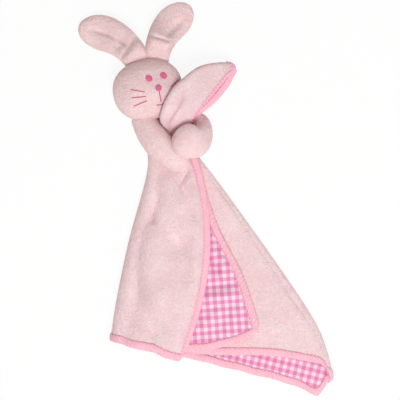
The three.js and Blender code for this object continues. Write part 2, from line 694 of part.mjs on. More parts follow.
// Rings of a stuffed arm along its middle line, blunt at the paw
function armRings(path, halfWidth, halfDepth, inset, from) {
  const curve = spline(path);
  const length = curve.getLength();
  const shares = [from, from + 0.06, 0.2, 0.32, 0.45, 0.58, 0.71, 0.82, 0.9, 0.955, 0.988];
  return shares.map((share) => {
    const s = lerp(inset / length, 1 - inset / length, share);
    const centre = curve.getPointAt(s);
    const ahead = curve.getTangentAt(s).setZ(0).normalize();
    const side = new THREE.Vector3(-ahead.y, ahead.x, 0);
    const swell = (1 - Math.abs(2 * share - 1) ** 5) ** 0.45;
    return Array.from({ length: 14 }, (_, i) => {
      const angle = (Math.PI * i) / 7;
      const point = centre.clone().addScaledVector(side, (halfWidth - inset) * swell * Math.cos(angle));
      return point.addScaledVector(UP, (halfDepth - inset) * swell * Math.sin(angle));
    });
  });
}

function addArm(name, path, halfWidth, halfDepth, opening, others, parent) {
  const outer = armRings(path, halfWidth, halfDepth, 0, opening);
  const inner = armRings(path, halfWidth, halfDepth, VELOUR, opening);
  const core = armRings(path, halfWidth, halfDepth, VELOUR + GAP, opening);
  piece(`${name}_cover`, cut(bag(outer, inner), ...others), VELOUR_PINK, parent);
  piece(`${name}_filling`, cut(loft(core), ...others), WADDING_WHITE, parent);
}

// Tall slab with the left arm's outline, so that the right paw stops beside it
function leftArmSide() {
  const halfWidth = LEFT_ARM_HALF_WIDTH + ARM_CLEARANCE;
  return loft(armRings(LEFT_ARM, halfWidth, ARM_HALF_DEPTH * 4, 0, SHOULDER_OPENING));
}

const group = new THREE.Group();
group.name = "rabbit_comforter";
addCloth("blanket", mainCloth(), group);
addCloth("corner", cornerCloth(), group);
piece("blanket_neck_gather", neckGather(0), VELOUR_PINK, group);
addHead(group);
const headRoom = headPlaced(GAP + 0.3, 0);
addEar("ear_left", LEFT_EAR, [headRoom], group);
addEar("ear_right", RIGHT_EAR, [headRoom], group);
const tiltRoom = [0, 0.5, 1].map((share) => headPlaced(GAP + 0.5, share * HEAD_TILT));
const neckRoom = neckGather(GAP);
const pawRoom = loft(armRings(RIGHT_ARM, RIGHT_ARM_HALF_WIDTH, ARM_HALF_DEPTH, -GAP, ELBOW_OPENING));
const bodyRoom = [neckRoom, ...tiltRoom];
addArm("arm_left", LEFT_ARM, LEFT_ARM_HALF_WIDTH, ARM_HALF_DEPTH, SHOULDER_OPENING, bodyRoom, group);
addArm("arm_right", RIGHT_ARM, RIGHT_ARM_HALF_WIDTH, ARM_HALF_DEPTH, ELBOW_OPENING, [leftArmSide()], group);
const upperRoom = [pawRoom, ...bodyRoom];
const upperSize = [UPPER_ARM_HALF_WIDTH, UPPER_ARM_HALF_DEPTH];
addArm("arm_right_upper", UPPER_ARM, ...upperSize, SHOULDER_OPENING, upperRoom, group);

export default group;
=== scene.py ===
import bpy
import numpy as np
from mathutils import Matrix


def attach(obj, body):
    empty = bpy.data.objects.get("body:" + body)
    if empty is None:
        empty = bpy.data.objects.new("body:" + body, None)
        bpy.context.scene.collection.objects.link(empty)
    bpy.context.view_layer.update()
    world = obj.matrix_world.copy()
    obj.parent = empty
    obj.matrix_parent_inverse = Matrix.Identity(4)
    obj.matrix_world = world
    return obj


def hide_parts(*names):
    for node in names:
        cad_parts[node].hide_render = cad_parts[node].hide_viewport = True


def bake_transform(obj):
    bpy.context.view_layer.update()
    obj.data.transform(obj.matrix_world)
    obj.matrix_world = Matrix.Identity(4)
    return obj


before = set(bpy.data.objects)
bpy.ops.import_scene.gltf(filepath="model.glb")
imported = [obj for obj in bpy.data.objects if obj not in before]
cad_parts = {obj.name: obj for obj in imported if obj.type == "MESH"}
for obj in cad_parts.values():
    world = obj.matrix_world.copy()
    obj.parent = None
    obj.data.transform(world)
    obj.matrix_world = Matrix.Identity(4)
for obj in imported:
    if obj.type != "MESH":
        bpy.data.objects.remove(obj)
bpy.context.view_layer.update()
scene = bpy.context.scene
scene.view_settings.view_transform = "Standard"

# Blanket, outside cloth: a square of pale pink short-pile velour. It lies folded in four layers, like a
# loose paper cone: the front panel turns under at the left, the back layer turns over at the right, and the
# flap lies on top, lining up. All is drawn in millimetres on one middle surface between the two cloths.
PILE = (0.15, 1.55)
FRONT_EDGE = [[-14.1, 50.5], [-3.5, 18.5], [2.6, -31.7], [-2.6, -82.7], [-19.4, -138.2]]
LEFT_FOLD = [[-51.5, 50.5], [-50.8, 23.8], [-66.9, -36.6], [-77.6, -88], [-83.1, -123.6]]
RIGHT_FOLD = [[-15, 50.5], [-6.4, 36], [13.4, 10], [62, -57.9], [95, -108], [107.2, -138], [111.2, -156.6]]
INNER_FOLD = [[-44, 50.5], [-42, 17.6], [-53, -35.2], [-62, -86], [-64, -125]]
FLAP_EDGE = [[-12.3, 50.5], [-4.2, 17.6], [10, -24.6], [31.5, -66.9], [48, -116]]
SEAM_STEPS = 7
SEAM_WIDTH = 5.9
UP = np.array([0.0, 0.0, 1.0])


def unit(vectors):
    """Vectors divided by their own length."""
    return vectors / np.maximum(np.linalg.norm(vectors, axis=-1, keepdims=True), 1e-9)


def ease(x, low, high):
    """0 below low, 1 above high, and 3t^2 - 2t^3 between them."""
    t = np.clip((np.asarray(x, float) - low) / (high - low), 0, 1)
    return t * t * (3 - 2 * t)


def rail(stations, v):
    """Edge or fold line: a Catmull-Rom curve through the stations, read at the shares v of its length."""
    p = np.asarray(stations, float)
    p = np.vstack([2 * p[0] - p[1], p, 2 * p[-1] - p[-2]])
    t = np.linspace(0, 1, 50)[:, None]
    a, b, c, d = p[:-3, None], p[1:-2, None], p[2:-1, None], p[3:, None]
    bend = 0.5 * (2 * b + (c - a) * t + (2 * a - 5 * b + 4 * c - d) * t**2 + (3 * b - a - 3 * c + d) * t**3)
    line = np.vstack([bend[:, :-1].reshape(-1, p.shape[1]), p[-2:-1]])
    run = np.concatenate([[0], np.cumsum(np.linalg.norm(np.diff(line, axis=0), axis=1))])
    return np.stack([np.interp(v * run[-1], run, line[:, k]) for k in range(p.shape[1])], axis=-1)


def folded(rails, layers, v):
    """Rows of points down a folded cloth. Each layer is a straight run from one rail to the next, dropped
    by its hem and raised by its drape; at an inner rail the cloth turns over in a half circle of that
    rail's radius. The drop of the hem is felt over the lower half of a layer, but only close to the hem
    beside a rail."""
    runs = []
    for a, b in zip(rails[:-1], rails[1:]):
        across = b["at"] - a["at"]
        leave = unit(across - a["lift"] * (across * a["lift"]).sum(-1, keepdims=True))
        arrive = unit(across - b["lift"] * (across * b["lift"]).sum(-1, keepdims=True))
        start = a["at"] + a["radius"][:, None] * (leave + a["turn"] * a["lift"])
        end = b["at"] - b["radius"][:, None] * (arrive + b["turn"] * b["lift"])
        runs.append((start, end, leave, arrive))
    columns = []
    for k, layer in enumerate(layers):
        start, end, _, arrive = runs[k]
        s = layer["shares"](np.linalg.norm(end - start, axis=-1))
        points = start[:, None] + (end - start)[:, None] * s[..., None]
        beside_rail = np.exp(-np.minimum(s, 1 - s) / 0.05)
        points[..., 1] -= layer["hem"](s) * ease(v[:, None], 0.45 + 0.42 * beside_rail, 1)
        points[..., 2] += layer["drape"](points, s, v[:, None])
        columns.append(points)
        if k + 1 < len(layers):
            turn = rails[k + 1]
            angle = np.pi * np.linspace(0, 1, 15)[None, 1:-1, None]
            share = angle / np.pi
            base = end[:, None] * (1 - share) + runs[k + 1][0][:, None] * share
            drop = layer["hem"](1.0) * (1 - share) + layers[k + 1]["hem"](0.0) * share
            base[..., 1] -= drop[..., 0] * ease(v, 0.87, 1)[:, None]
            radius = turn["radius"][:, None, None]
            out = unit(arrive - runs[k + 1][2])[:, None]
            rise = -turn["turn"] * turn["lift"][:, None] * (np.cos(angle) - 1 + 2 * share)
            columns.append(base + radius * (rise + out * np.sin(angle)))
    return np.concatenate(columns, axis=1)


def facing(points):
    """Unit normals of a grid: the step across times the step down, as a cross product."""
    return unit(np.cross(np.gradient(points, axis=1), np.gradient(points, axis=0)))


def crease(points, start, end, width):
    """Bell curve of the distance in plan from the stretch between two points: 1 on it, 0 a few widths
    away."""
    a, b = np.asarray(start, float), np.asarray(end, float)
    along = b - a
    t = np.clip(((points[..., :2] - a) @ along) / (along @ along), 0, 1)
    gap = np.linalg.norm(points[..., :2] - a - t[..., None] * along, axis=-1)
    return np.exp(-((gap / width) ** 2))


def from_edge(length):
    """Shares of a layer's width: seven small steps across the width of the binding, then even steps."""
    seam = np.minimum(SEAM_WIDTH / length, 0.45)[:, None]
    even = np.linspace(0, 1, 42)[1:]
    return np.hstack([seam * np.linspace(0, 1, SEAM_STEPS + 1), seam + (1 - seam) * even])


def to_edge(length):
    """The same steps towards a bound edge."""
    return 1 - from_edge(length)[:, ::-1]


FRONT_FOLDS = [
    (3.4, (-60, -20), (-44, -90), 13),
    (2.4, (-32, 14), (-26, -4), 8),
    (3.0, (-40, -86), (-26, -118), 11),
    (1.6, (-8, -56), (-12, -104), 7),
    (-4.4, (-44, -4), (-24, -40), 10),
    (-3.4, (-24, -40), (-16, -66), 10),
    (-6.2, (-52, 16), (-47.5, -17), 3.6),
    (-2.8, (-15.5, 25), (-23, 13), 1.9),
    (-4.0, (-68, -70), (-46, -116), 10),
    (-2.2, (-21, 8), (-10, -14), 4),
]


def front_drape(points, s, v):
    """Soft folds of the front panel: one broad swell, and the ridges and creases that run down from under
    the arms."""
    swell = 5.6 * ease(v, 0.06, 0.34) * ease(s, 0.0, 0.22) * (1 - ease(s, 0.7, 1))
    folds = sum(rise * crease(points, start, end, width) for rise, start, end, width in FRONT_FOLDS)
    edges = ease(s, 0.02, 0.24) * (1 - ease(s, 0.84, 1)) * ease(v, 0.02, 0.12) * (1 - 0.7 * ease(v, 0.9, 1))
    return swell + folds * edges


def back_drape(points, s, v):
    """The back layer lies flat on the table; only its hem on the right waves a little."""
    return 0.5 * ease(v, 0.75, 1) * ease(s, 0.3, 0.6) * (1 - ease(s, 0.93, 1)) * (1 + np.sin(34 * s))


def middle_drape(points, s, v):
    """The middle layer fans out from the neck in long, low folds."""
    fan = 1.5 * crease(points, (2, 25), (74, -100), 8) + 1.3 * crease(points, (3, 15), (50, -118), 7)
    fan -= 1.6 * crease(points, (26, -25), (52, -98), 5) - 1.2 * crease(points, (20, 2), (96, -125), 6)
    return fan * ease(s, 0.0, 0.08) * (1 - ease(s, 0.75, 1)) * ease(v, 0.04, 0.3)


def flap_drape(points, s, v):
    """The flap crumples where the front panel presses on it."""
    press = 3.4 * crease(points, (4, -44), (18, -60), 5) - 4.0 * crease(points, (1, -56), (9, -62), 3.5)
    press += 2.4 * crease(points, (2, -88), (30, -82), 5) - 2.2 * crease(points, (2, -77), (20, -74), 4)
    press += 2.0 * crease(points, (-4, -112), (12, -98), 4) - 1.8 * crease(points, (14, -112), (22, -92), 4)
    return press * (1 - ease(s, 0.88, 0.97)) * ease(v, 0.1, 0.3) * (1 - ease(v, 0.93, 1))


def down_to_hem(stations, count):
    """Points down a rail: even steps from the neck, then seven small ones across the width of the hem's
    binding."""
    ends = rail(stations, np.linspace(0, 1, 60))
    seam = SEAM_WIDTH / np.linalg.norm(np.diff(ends, axis=0), axis=-1).sum()
    even = np.linspace(0, 1 - seam, count - SEAM_STEPS)
    return rail(stations, np.concatenate([even, 1 - seam * (1 - np.linspace(0, 1, SEAM_STEPS + 1)[1:])]))


rows = np.concatenate([np.linspace(0, 0.97, 86)[:-1], np.linspace(0.97, 1, SEAM_STEPS + 1)])
flat_lift = np.tile(UP, (len(rows), 1))
table_gap = PILE[1] + 1.25 * ease(rows, 0.6, 1)
right_radius = 2.3 + 1.7 * rows
inner_radius = 2.6 + 0.1 * rows
left_radius = 6.4 + 2.6 * rows
middle_height = table_gap + 2 * right_radius


def laid(stations, height, radius, turn):
    """One rail of the blanket on the table, at its height, with the radius and sense of its fold."""
    at = np.column_stack([down_to_hem(stations, len(rows)), height])
    return {"at": at, "radius": radius, "turn": turn, "lift": flat_lift}


no_fold = np.zeros(len(rows))
blanket_rails = [
    laid(FRONT_EDGE, table_gap + 2 * left_radius, no_fold, 0),
    laid(LEFT_FOLD, table_gap + left_radius, left_radius, -1),
    laid(RIGHT_FOLD, table_gap + right_radius, right_radius, 1),
    laid(INNER_FOLD, middle_height + inner_radius, inner_radius, 1),
    laid(FLAP_EDGE, middle_height + 2 * inner_radius, no_fold, 0),
]
to_corner = np.concatenate([np.linspace(0, 0.8, 52), np.linspace(0.8, 1, 38)[1:]])


def front_hem(s):
    """Drop of the front panel's hem: a sag near the free edge, a small one near the fold, and a slight
    wave."""
    sag = 3.4 * np.exp(-(((s - 0.17) / 0.24) ** 2)) * ease(s, 0, 0.08) + np.exp(-(((s - 0.77) / 0.1) ** 2))
    return sag + 0.3 * np.sin(23 * s)


def back_hem(s):
    """Drop of the back layer's hem: it falls to the blanket's corner on the right and rounds off into the
    fold."""
    fall = 14.5 * np.abs(s) ** 1.05 + 4.6 * np.exp(-(((s - 0.95) / 0.08) ** 2))
    return (fall + 0.4 * np.sin(41 * s) * ease(s, 0.3, 0.5)) * (1 - ease(s, 0.945, 1.04))


def middle_hem(s):
    """The middle layer's hem is drawn up: steeply out of the fold on the right, and level from there."""
    return -11.1 * (1 - np.exp(-(s + 0.006) / 0.012)) * (1 - ease(s, 0.2, 0.74))


def flap_hem(s):
    """The flap's hem hangs in one bow."""
    return 48 * s * (1 - s) + 0.3 * np.sin(25 * s)


blanket_layers = [
    {"shares": from_edge, "drape": front_drape, "hem": front_hem},
    {"shares": lambda length: np.tile(to_corner, (len(length), 1)), "drape": back_drape, "hem": back_hem},
    {
        "shares": lambda length: np.tile(1 - to_corner[::-1], (len(length), 1)),
        "drape": middle_drape,
        "hem": middle_hem,
    },
    {"shares": to_edge, "drape": flap_drape, "hem": flap_hem},
]


def rounded(points, reach):
    """Rounds the two hem corners of a grid: within reach of both edges, a square (x, y) becomes the
    quarter disc x sqrt(1 - y^2/2), y sqrt(1 - x^2/2)."""
    for flip in (False, True):
        grid = points[:, ::-1] if flip else points
        side = np.linalg.norm(grid - grid[:, :1], axis=-1)
        hem = np.linalg.norm(grid - grid[-1:], axis=-1)
        x, y = np.clip(1 - side / reach, 0, 1), np.clip(1 - hem / reach, 0, 1)
        inward = unit(grid[-1, 12] - grid[-1, 0])
        upward = unit(grid[-12, 0] - grid[-1, 0])
        slide = x * (1 - np.sqrt(1 - y**2 / 2)), y * (1 - np.sqrt(1 - x**2 / 2))
        grid += reach * (slide[0][..., None] * inward + slide[1][..., None] * upward)
    return points


blanket = rounded(folded(blanket_rails, blanket_layers, rows), 9)
blanket_normal = facing(blanket)


def lofted(name, rings, ends, uv=None):
    """Closed mesh through a row of closed rings. Its ends are a ladder between the two halves of a thin
    section, or one disc. The winding is set so that the volume is positive. uv goes with the points."""
    count, size = rings.shape[:2]
    index = np.arange(count * size).reshape(count, size)
    beside = np.roll(index, -1, axis=1)
    quads = np.stack([index[:-1], beside[:-1], beside[1:], index[1:]], -1).reshape(-1, 4)
    if ends == "ladder":
        k = np.arange(size // 2 - 1)
        first, last = index[0], index[-1]
        caps = [
            np.stack([first[k], first[size - 1 - k], first[size - 2 - k], first[k + 1]], -1),
            np.stack([last[k], last[k + 1], last[size - 2 - k], last[size - 1 - k]], -1),
        ]
        quads = np.vstack([quads, *caps])
    faces = quads.tolist()
    if ends == "disc":
        faces += [index[0, ::-1].tolist(), index[-1].tolist()]
    corners = rings.reshape(-1, 3)
    a, b, c, d = (corners[quads[:, i]] for i in range(4))
    volume = (a * np.cross(b, c)).sum() + (a * np.cross(c, d)).sum()
    if volume < 0:
        faces = [face[::-1] for face in faces]
    mesh = bpy.data.meshes.new(name)
    mesh.from_pydata((corners * 0.001).tolist(), [], faces)
    mesh.polygons.foreach_set("use_smooth", np.ones(len(mesh.polygons), bool))
    if uv is not None:
        vertex = np.empty(len(mesh.loops), np.int32)
        mesh.loops.foreach_get("vertex_index", vertex)
        mesh.uv_layers.new(name="weave").data.foreach_set("uv", (uv.reshape(-1, 2)[vertex] * 0.001).ravel())
    mesh.update()
    piece = bpy.data.objects.new(name, mesh)
    scene.collection.objects.link(piece)
    return piece


def flat_cut(points, angle):
    """Where each point lies on the flat cloth: its place in plan, turned so that the threads run with the
    bound edge next to it. Layers lie flat on each other, so a turn of the cloth only mirrors the plan."""
    c, s = np.cos(angle), np.sin(angle)
    x, y = points[..., 0], points[..., 1]
    return np.stack([c * x + s * y, c * y - s * x], -1)


def between(points, normal, low, high):
    """Rings of a cloth that fills the space between two offsets from a middle surface."""
    return np.concatenate([points + high * normal, (points + low * normal)[:, ::-1]], axis=1)


class Wire:
    """One value of a material's node tree. Arithmetic on it adds Math nodes; node() adds any other node."""

    def __init__(self, tree, socket=None):
        self.tree, self.socket = tree, socket

    def node(self, kind, settings=None, inputs=None, out=0):
        made = self.tree.nodes.new(kind)
        for key, value in (settings or {}).items():
            setattr(made, key, value)
        for key, value in (inputs or {}).items():
            if isinstance(value, Wire):
                self.tree.links.new(value.socket, made.inputs[key])
            else:
                made.inputs[key].default_value = value
        return Wire(self.tree, made.outputs[out])

    def sum(self, operation, first, second):
        return self.node("ShaderNodeMath", {"operation": operation}, {0: first, 1: second})

    def __add__(self, other):
        return self.sum("ADD", self, other)

    def __mul__(self, other):
        return self.sum("MULTIPLY", self, other)

    def __sub__(self, other):
        return self.sum("SUBTRACT", self, other)

    def __rsub__(self, other):
        return self.sum("SUBTRACT", other, self)

    __radd__, __rmul__ = __add__, __mul__

    def wave(self):
        return self.sum("SINE", self, 0.0)

    def mixed(self, low, high):
        colours = {"Factor": self, 6: low, 7: high}
        return self.node("ShaderNodeMix", {"data_type": "RGBA"}, colours, out=2)

    def stepped(self, low, high):
        limits = {"Value": self, "From Min": low, "From Max": high}
        return self.node("ShaderNodeMapRange", {"interpolation_type": "SMOOTHSTEP"}, limits)

    def noise(self, vector, scale, detail=2.0):
        return self.node("ShaderNodeTexNoise", None, {"Vector": vector, "Scale": scale, "Detail": detail})

    def bump(self, height, distance, strength=1.0):
        sockets = {"Height": height, "Distance": distance, "Strength": strength}
        return self.node("ShaderNodeBump", None, sockets)


def finish(name):
    """A new material's tree and its cloth shader."""
    material = bpy.data.materials.new(name)
    material.use_nodes = True
    tree = material.node_tree
    return material, Wire(tree), tree.nodes["Principled BSDF"]


def dress(piece, material, body, slot, *nodes):
    """Gives a piece its material and its body, and hides the CAD solids it stands for. The slot, a finish's
    name, is not used."""
    piece.data.materials.append(material)
    if body:
        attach(piece, body)
    if nodes:
        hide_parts(*nodes)
    return piece


def paint(red, green, blue):
    """A colour as seen, 0 to 255, as the light that it reflects."""
    seen = np.array([red, green, blue]) / 255
    light = np.where(seen <= 0.04045, seen / 12.92, ((seen + 0.055) / 1.055) ** 2.4)
    return (*light.tolist(), 1.0)


def velour(name, light, dark):
    """Short-pile velour: cloudy marks where the pile is brushed over, a fine grain of tufts, and a soft
    sheen."""
    material, wire, shader = finish(name)
    at = wire.node("ShaderNodeTexCoord", out=3)
    cloud = wire.noise(at, 55.0, 3.0)
    nap = wire.noise(at, 330.0, 2.0)
    tufts = wire.noise(at, 900.0, 2.0)
    tone = (cloud * 0.45 + nap * 0.45 + tufts * 0.5 - 0.2).stepped(0.2, 0.8)
    links = wire.tree.links
    links.new(tone.mixed(dark, light).socket, shader.inputs["Base Color"])
    links.new((0.98 - 0.12 * tufts).socket, shader.inputs["Roughness"])
    links.new(wire.bump(tufts + nap * 0.8, 0.0014, 0.75).socket, shader.inputs["Normal"])
    shader.inputs["Specular IOR Level"].default_value = 0.12
    shader.inputs["Sheen Weight"].default_value = 0.1
    shader.inputs["Sheen Roughness"].default_value = 0.5
    shader.inputs["Sheen Tint"].default_value = paint(255, 226, 226)
    shader.inputs["Subsurface Weight"].default_value = 0.2
    shader.inputs["Subsurface Radius"].default_value = (1.0, 0.35, 0.3)
    shader.inputs["Subsurface Scale"].default_value = 0.004
    return material


blanket_velour = velour("blanket_velour", paint(252, 226, 229), paint(238, 202, 205))
blanket_pile = lofted("blanket_pile", between(blanket, blanket_normal, *PILE), "ladder")
dress(blanket_pile, blanket_velour, "blanket", "velour", "blanket_outer")

# Blanket, lining: thin woven cotton with a pink and white gingham check of about three millimetres. It is
# cut to the same square as the velour and lies against its back, so the check runs with the bound edges
# wherever it shows.
LINING = (-0.65, -0.15)
CHECK = 0.0033


def gingham(name):
    """Woven check: bands of pink warp and weft on white, darkest where both are pink, with single threads
    showing in the half tones and in the bump."""
    material, wire, shader = finish(name)
    weave = wire.node("ShaderNodeUVMap", {"uv_map": "weave"})
    drift = wire.noise(weave, 90.0) - 0.5
    x, y = (wire.node("ShaderNodeSeparateXYZ", None, {0: weave}, out=k) + drift * 0.0006 for k in (0, 1))
    warp, weft = ((t * (np.pi / CHECK)).wave().stepped(-0.12, 0.12) for t in (x, y))
    threads = (x * 21000.0).wave() * (y * 21000.0).wave()
    half = warp + weft
    pink = half.stepped(0.0, 1.0).mixed(paint(249, 226, 239), paint(242, 178, 210))
    deep = (half + threads * 0.12).stepped(1.0, 2.0).mixed(pink, paint(232, 136, 182))
    links = wire.tree.links
    links.new(deep.socket, shader.inputs["Base Color"])
    links.new((0.86 + threads * 0.05).socket, shader.inputs["Roughness"])
    links.new(wire.bump(threads, 0.0002, 0.4).socket, shader.inputs["Normal"])
    shader.inputs["Specular IOR Level"].default_value = 0.2
    return material


gingham_cotton = gingham("gingham_cotton")
last_fold = blanket.shape[1] - SEAM_STEPS - 49
blanket_flat = flat_cut(blanket, np.radians(np.where(np.arange(blanket.shape[1]) < last_fold, -14, 4)))
blanket_check = lofted(
    "blanket_check",
    between(blanket, blanket_normal, *LINING),
    "ladder",
    uv=np.concatenate([blanket_flat, blanket_flat[:, ::-1]], axis=1),
)
dress(blanket_check, gingham_cotton, "blanket", "gingham", "blanket_lining")

# Blanket, binding: a folded pink satin tape that wraps both cloths all along the open edges, about seven
# millimetres on each face, and is sewn through with one row of stitches near its inner edge. The sewing
# puckers it on the slant.
TAPE_OVER = (1.62, 2.2)
TAPE_UNDER = (-0.72, -1.3)


def taped(points, normal):
    """Rings of a folded tape along the edge of a grid: first side, hem, last side. Each ring goes in over
    the velour, round the edge and in under the lining, and back inside it; corners are mitred by taking
    the same number of rows or columns in from both edges. Returns the rings and the tape's own flat
    coordinates."""
    last, end = points.shape[0] - 1, points.shape[1] - 1
    row = np.concatenate([np.arange(last), np.full(end, last), np.arange(last, -1, -1)])
    column = np.concatenate([np.zeros(last, int), np.arange(end), np.full(last + 1, end)])
    depth = np.arange(SEAM_STEPS + 1)
    j = np.minimum(row[:, None], last - depth)
    i = np.clip(column[:, None], depth, end - depth)
    p, n = points[j, i], normal[j, i]
    out = unit(p[:, :1] - p[:, 2:3])
    swell = (0.35 * np.sin(np.pi * np.clip(depth / (SEAM_STEPS - 1), 0, 1)) ** 0.7)[:, None]
    swell[-1] = TAPE_OVER[0] - TAPE_OVER[1] + 0.05
    over, under = p + (TAPE_OVER[1] + swell) * n, p + (TAPE_UNDER[1] - swell) * n
    bend = np.linspace(0, np.pi, 7)[None, 1:-1, None]
    middle, reach = (TAPE_OVER[1] + TAPE_UNDER[1]) / 2, (TAPE_OVER[1] - TAPE_UNDER[1]) / 2
    round_edge = p[:, :1] + out * (0.4 + 0.9 * np.sin(bend)) + n[:, :1] * (middle + reach * np.cos(bend))
    inner_edge = p[:, :1] + out * 0.3
    inside = [p[:, ::-1] + TAPE_UNDER[0] * n[:, ::-1], inner_edge, p + TAPE_OVER[0] * n]
    rings = np.concatenate([over[:, ::-1], round_edge, under, *inside], axis=1)
    run = np.concatenate([[0], np.cumsum(np.linalg.norm(np.diff(p[:, 0], axis=0), axis=-1))])
    across = np.concatenate([-depth[::-1], np.linspace(0, 0, 5), depth, -depth[::-1], [0], depth])
    flat = np.stack(np.broadcast_arrays(run[:, None], across[None]), -1).astype(float)
    return rings, flat, p[:, -2] + TAPE_OVER[1] * n[:, -2], p[:, -2] + TAPE_UNDER[1] * n[:, -2]


def satin(name, light, dark):
    """Satin tape: slanted puckers two or three millimetres apart that fade in and out, with painted light
    on their crests and painted shade in their troughs, and a fine cross rib."""
    material, wire, shader = finish(name)
    weave = wire.node("ShaderNodeUVMap", {"uv_map": "weave"})
    x, y = (wire.node("ShaderNodeSeparateXYZ", None, {0: weave}, out=k) for k in (0, 1))
    wander = wire.noise(weave, 180.0)
    pucker = ((x + y * 0.75) * 1750.0 + wander * 14.0).wave()
    strong = wire.noise(weave, 45.0).stepped(0.25, 0.6) * x.stepped(0.17, 0.2)
    # The tone follows the puckers' height: painted light on the crests and painted shade in the troughs,
    # over a random tone.
    tone = (pucker * strong * 0.25 + wander * 0.5 + 0.25).stepped(0.0, 1.0)
    links = wire.tree.links
    links.new(tone.mixed(dark, light).socket, shader.inputs["Base Color"])
    links.new((0.55 + 0.12 * wander).socket, shader.inputs["Roughness"])
    height = pucker * (strong + 0.1) + (x * 16000.0).wave() * 0.06
    links.new(wire.bump(height, 0.0004, 0.45).socket, shader.inputs["Normal"])
    shader.inputs["Specular IOR Level"].default_value = 0.35
    shader.inputs["Sheen Weight"].default_value = 0.15
    return material


# The light colour is painted light on the puckers' crests and the dark one painted shade in their troughs,
# mixed with a random tone.
pink_satin = satin("pink_satin", paint(250, 202, 214), paint(240, 173, 192))
tape_rings, tape_flat, seam_over, seam_under = taped(blanket, blanket_normal)
blanket_tape = lofted("blanket_tape", tape_rings, "ladder", uv=tape_flat)
dress(blanket_tape, pink_satin, "blanket", "binding", "blanket_binding")


def stitched(name, seams, length, pitch, radius):
    """A row of stitches along each seam line: one small closed spindle per stitch, all in one mesh."""
    spots, ways, ups = [], [], []
    for line, up in seams:
        run = np.concatenate([[0], np.cumsum(np.linalg.norm(np.diff(line, axis=0), axis=-1))])
        at = np.arange(pitch, run[-1] - pitch, pitch)
        spots.append(np.stack([np.interp(at, run, line[:, k]) for k in range(3)], -1))
        ahead = np.stack([np.interp(at + 0.5, run, line[:, k]) for k in range(3)], -1)
        ways.append(unit(ahead - spots[-1]))
        ups.append(unit(np.stack([np.interp(at, run, up[:, k]) for k in range(3)], -1)))
    spot, way, up = np.vstack(spots), np.vstack(ways), np.vstack(ups)
    beside = unit(np.cross(way, up))
    share = np.linspace(-1, 1, 6)
    girth = radius * np.sqrt(np.maximum(1 - share**4, 0.04))
    angle = np.linspace(0, 2 * np.pi, 7)[:-1]
    ring = np.stack(np.broadcast_arrays(np.cos(angle), np.sin(angle)), -1)
    local = girth[:, None, None] * ring[None]
    lift = 0.25 * (1 - share**2)
    points = (
        spot[:, None, None]
        + way[:, None, None] * (share * length / 2)[None, :, None, None]
        + beside[:, None, None] * local[None, ..., :1]
        + up[:, None, None] * (local[None, ..., 1:] + lift[None, :, None, None])
    )
    count = len(spot)
    index = np.arange(count * 36).reshape(count, 6, 6)
    next_one = np.roll(index, -1, axis=2)
    sides = np.stack([index[:, :-1], next_one[:, :-1], next_one[:, 1:], index[:, 1:]], -1).reshape(-1, 4)
    faces = sides[:, ::-1].tolist() + index[:, 0].tolist() + index[:, -1, ::-1].tolist()
    mesh = bpy.data.meshes.new(name)
    mesh.from_pydata((points.reshape(-1, 3) * 0.001).tolist(), [], faces)
    mesh.polygons.foreach_set("use_smooth", np.ones(len(mesh.polygons), bool))
    piece = bpy.data.objects.new(name, mesh)
    scene.collection.objects.link(piece)
    return piece


def thread(name, colour, shade):
    """Cotton thread: fine twist in the tone, no shine."""
    material, wire, shader = finish(name)
    at = wire.node("ShaderNodeTexCoord", out=3)
    fibre = wire.noise(at, 1600.0)
    wire.tree.links.new(fibre.stepped(0.3, 0.7).mixed(shade, colour).socket, shader.inputs["Base Color"])
    shader.inputs["Roughness"].default_value = 0.7
    shader.inputs["Specular IOR Level"].default_value = 0.3
    return material


pale_thread = thread("pale_thread", paint(242, 168, 190), paint(228, 136, 166))
up_over = unit(seam_over - seam_under)
blanket_stitches = stitched(
    "blanket_stitches", [(seam_over, up_over), (seam_under, -up_over)], 2.3, 3.3, 0.28
)
dress(blanket_stitches, pale_thread, "blanket", "binding")

# Neck: below the head both cloths are drawn together and sewn to it in tight pleats. Only a little of
# this shows, deep between the arms, but it carries the head, and it gives a little when the head tilts.
NECK_RINGS = [
    (-50.5, 69.5, 15.0, 12.5, 11.0),
    (-48.5, 65.5, 14.0, 11.5, 10.4),
    (-44.0, 61.0, 14.0, 12.8, 11.2),
    (-38.0, 56.0, 11.4, 15.8, 9.6),
    (-33.8, 51.0, 9.2, 19.0, 8.4),
    (-33.0, 46.0, 8.6, 19.2, 6.6),
]


def pleated(rings, pleats, depth):
    """Ovals across the neck, one behind the other; their radius swings with the cosine of a number of
    pleats, and the pleats turn slowly along the neck."""
    stations = rail(rings, np.linspace(0, 1, 22))
    angle = np.linspace(0, 2 * np.pi, 121)[None, :-1]
    twist = np.linspace(0, 0.5, 22)[:, None]
    swing = 1 + depth * np.cos(pleats * (angle + twist)) * (0.7 + 0.3 * np.cos(3 * angle))
    x = stations[:, :1] + stations[:, 3:4] * swing * np.cos(angle)
    z = stations[:, 2:3] + stations[:, 4:5] * swing * np.sin(angle)
    y = np.broadcast_to(stations[:, 1:2], x.shape)
    return np.stack([x, y, z], -1)


# The neck's velour is the blanket's cloth in a slightly deeper, warmer pink: painted shade for the reddish
# hollow deep between the arms.
neck_velour_painted_shade = velour("neck_velour_painted_shade", paint(251, 223, 225), paint(237, 198, 199))
neck_bunch = lofted("neck_bunch", pleated(NECK_RINGS, 13, 0.15), "disc")
dress(neck_bunch, neck_velour_painted_shade, None, "velour", "blanket_neck_gather")
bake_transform(neck_bunch)

